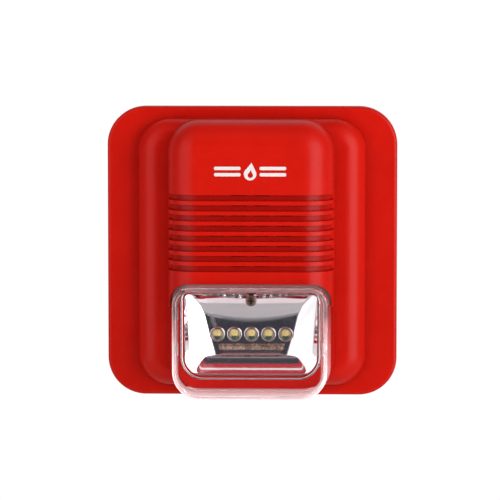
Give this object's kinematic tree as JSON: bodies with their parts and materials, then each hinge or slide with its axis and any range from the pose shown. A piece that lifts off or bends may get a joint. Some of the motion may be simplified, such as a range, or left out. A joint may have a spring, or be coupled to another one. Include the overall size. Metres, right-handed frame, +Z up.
{
  "type": "wall-mounted horn strobe",
  "caption": "Red wall-mounted fire alarm sounder and strobe with a louvred front, a clear lens over a mirrored lamp trough, and a hinged mounting base.",
  "frame": {"origin": "centre of the mounting base's wall face", "axes": "+X to the viewer's right, +Y into the wall, +Z up; the front faces -Y"},
  "size_m": [0.122, 0.047, 0.122],
  "materials": {
    "housing_plastic": "satin red moulding with a fine grain",
    "base_plastic": "matt red moulding",
    "marking": "white print",
    "cover_plastic": "matt black moulding",
    "screw_steel": "zinc plated",
    "clear_plastic": "clear, polished",
    "bright_plating": "mirror plated plastic",
    "dark_screw": "dark zinc",
    "tinned_metal": "tinned",
    "circuit_board": "green solder resist",
    "screen_fabric": "black woven screen",
    "foam": "closed-cell foam",
    "inner_plastic": "black moulding",
    "disc_brass": "rolled brass",
    "disc_ceramic": "silvered ceramic",
    "capacitor_sleeve": "shrink sleeve",
    "ferrite": "ferrite",
    "enamelled_wire": "enamelled copper",
    "component_black": "moulded body",
    "resistor_black": "thick film",
    "ceramic_tan": "ceramic",
    "connector_white": "nylon",
    "wire_red": "wire insulation",
    "wire_black": "wire insulation",
    "terminal_plastic": "green nylon",
    "terminal_metal": "nickel plated",
    "switch_blue": "moulded",
    "lever_white": "moulded",
    "trimmer_blue": "moulded",
    "lamp_clear": "clear epoxy"
  },
  "bodies": {
    "base": {"mounting_base": "base_plastic"},
    "head": {"front_housing": "housing_plastic", "front_symbol": "marking", "rear_cover": "cover_plastic", "cover_screws": "screw_steel", "strobe_lens": "clear_plastic", "strobe_reflector": "bright_plating", "reflector_screw": "dark_screw", "strobe_led_1": "lamp_clear", "strobe_led_2": "lamp_clear", "strobe_led_3": "lamp_clear", "strobe_led_4": "lamp_clear", "strobe_led_5": "lamp_clear", "led_leads": "tinned_metal", "led_board": "circuit_board", "led_board_screws": "screw_steel", "dust_screen": "screen_fabric", "sounder_gasket": "foam", "sounder_cup": "inner_plastic", "piezo_disc": "disc_brass", "piezo_ceramic": "disc_ceramic", "sounder_back": "inner_plastic", "sounder_screws": "screw_steel", "main_board": "circuit_board", "main_board_screws": "screw_steel", "capacitor_1": "capacitor_sleeve", "capacitor_2": "capacitor_sleeve", "inductor_core": "ferrite", "inductor_winding": "enamelled_wire", "drive_transistors": "component_black", "controller_chip": "component_black", "rectifier_diodes": "component_black", "chip_resistors": "resistor_black", "ceramic_capacitors": "ceramic_tan", "led_header": "connector_white", "led_plug": "connector_white", "led_wires": "wire_red", "piezo_wires": "wire_black", "terminal_block": "terminal_plastic", "terminal_pins": "tinned_metal", "dip_body": "switch_blue", "trimmer_body": "trimmer_blue"},
    "clamp_screw_1": {"terminal_screw_1": "terminal_metal"},
    "clamp_cage_1": {"terminal_cage_1": "terminal_metal"},
    "switch_lever_1": {"dip_lever_1": "lever_white"},
    "clamp_screw_2": {"terminal_screw_2": "terminal_metal"},
    "clamp_cage_2": {"terminal_cage_2": "terminal_metal"},
    "switch_lever_2": {"dip_lever_2": "lever_white"},
    "clamp_screw_3": {"terminal_screw_3": "terminal_metal"},
    "clamp_cage_3": {"terminal_cage_3": "terminal_metal"},
    "switch_lever_3": {"dip_lever_3": "lever_white"},
    "clamp_screw_4": {"terminal_screw_4": "terminal_metal"},
    "clamp_cage_4": {"terminal_cage_4": "terminal_metal"},
    "switch_lever_4": {"dip_lever_4": "lever_white"},
    "volume_rotor": {"trimmer_rotor": "lever_white"}
  },
  "joints": [
    {"name": "head_swing", "type": "hinge", "parent": "base", "child": "head", "pos_m": [0, -0.004, 0.0564], "axis": [-1, 0, 0], "range_deg": [0, 18]},
    {"name": "clamp_turn_1", "type": "hinge", "parent": "head", "child": "clamp_screw_1", "pos_m": [-0.0075, -0.004, 0.002], "axis": [0, -1, 0], "range_deg": [-1440, 0]},
    {"name": "clamp_rise_1", "type": "slide", "parent": "head", "child": "clamp_cage_1", "axis": [0, 1, 0], "range_m": [0, 0.002]},
    {"name": "switch_slide_1", "type": "slide", "parent": "head", "child": "switch_lever_1", "axis": [1, 0, 0], "range_m": [0, 0.0016]},
    {"name": "clamp_turn_2", "type": "hinge", "parent": "head", "child": "clamp_screw_2", "pos_m": [-0.0025, -0.004, 0.002], "axis": [0, -1, 0], "range_deg": [-1440, 0]},
    {"name": "clamp_rise_2", "type": "slide", "parent": "head", "child": "clamp_cage_2", "axis": [0, 1, 0], "range_m": [0, 0.002]},
    {"name": "switch_slide_2", "type": "slide", "parent": "head", "child": "switch_lever_2", "axis": [1, 0, 0], "range_m": [0, 0.0016]},
    {"name": "clamp_turn_3", "type": "hinge", "parent": "head", "child": "clamp_screw_3", "pos_m": [0.0025, -0.004, 0.002], "axis": [0, -1, 0], "range_deg": [-1440, 0]},
    {"name": "clamp_rise_3", "type": "slide", "parent": "head", "child": "clamp_cage_3", "axis": [0, 1, 0], "range_m": [0, 0.002]},
    {"name": "switch_slide_3", "type": "slide", "parent": "head", "child": "switch_lever_3", "axis": [1, 0, 0], "range_m": [0, 0.0016]},
    {"name": "clamp_turn_4", "type": "hinge", "parent": "head", "child": "clamp_screw_4", "pos_m": [0.0075, -0.004, 0.002], "axis": [0, -1, 0], "range_deg": [-1440, 0]},
    {"name": "clamp_rise_4", "type": "slide", "parent": "head", "child": "clamp_cage_4", "axis": [0, 1, 0], "range_m": [0, 0.002]},
    {"name": "switch_slide_4", "type": "slide", "parent": "head", "child": "switch_lever_4", "axis": [1, 0, 0], "range_m": [0, 0.0016]},
    {"name": "volume_turn", "type": "hinge", "parent": "head", "child": "volume_rotor", "pos_m": [0.025, -0.0066, 0.01], "axis": [0, 1, 0], "range_deg": [-135, 135]}
  ],
  "couplings": [
    {"joint": "clamp_turn_1", "follows": "clamp_rise_1", "rad_per_m": -12566},
    {"joint": "clamp_turn_2", "follows": "clamp_rise_2", "rad_per_m": -12566},
    {"joint": "clamp_turn_3", "follows": "clamp_rise_3", "rad_per_m": -12566},
    {"joint": "clamp_turn_4", "follows": "clamp_rise_4", "rad_per_m": -12566}
  ]
}
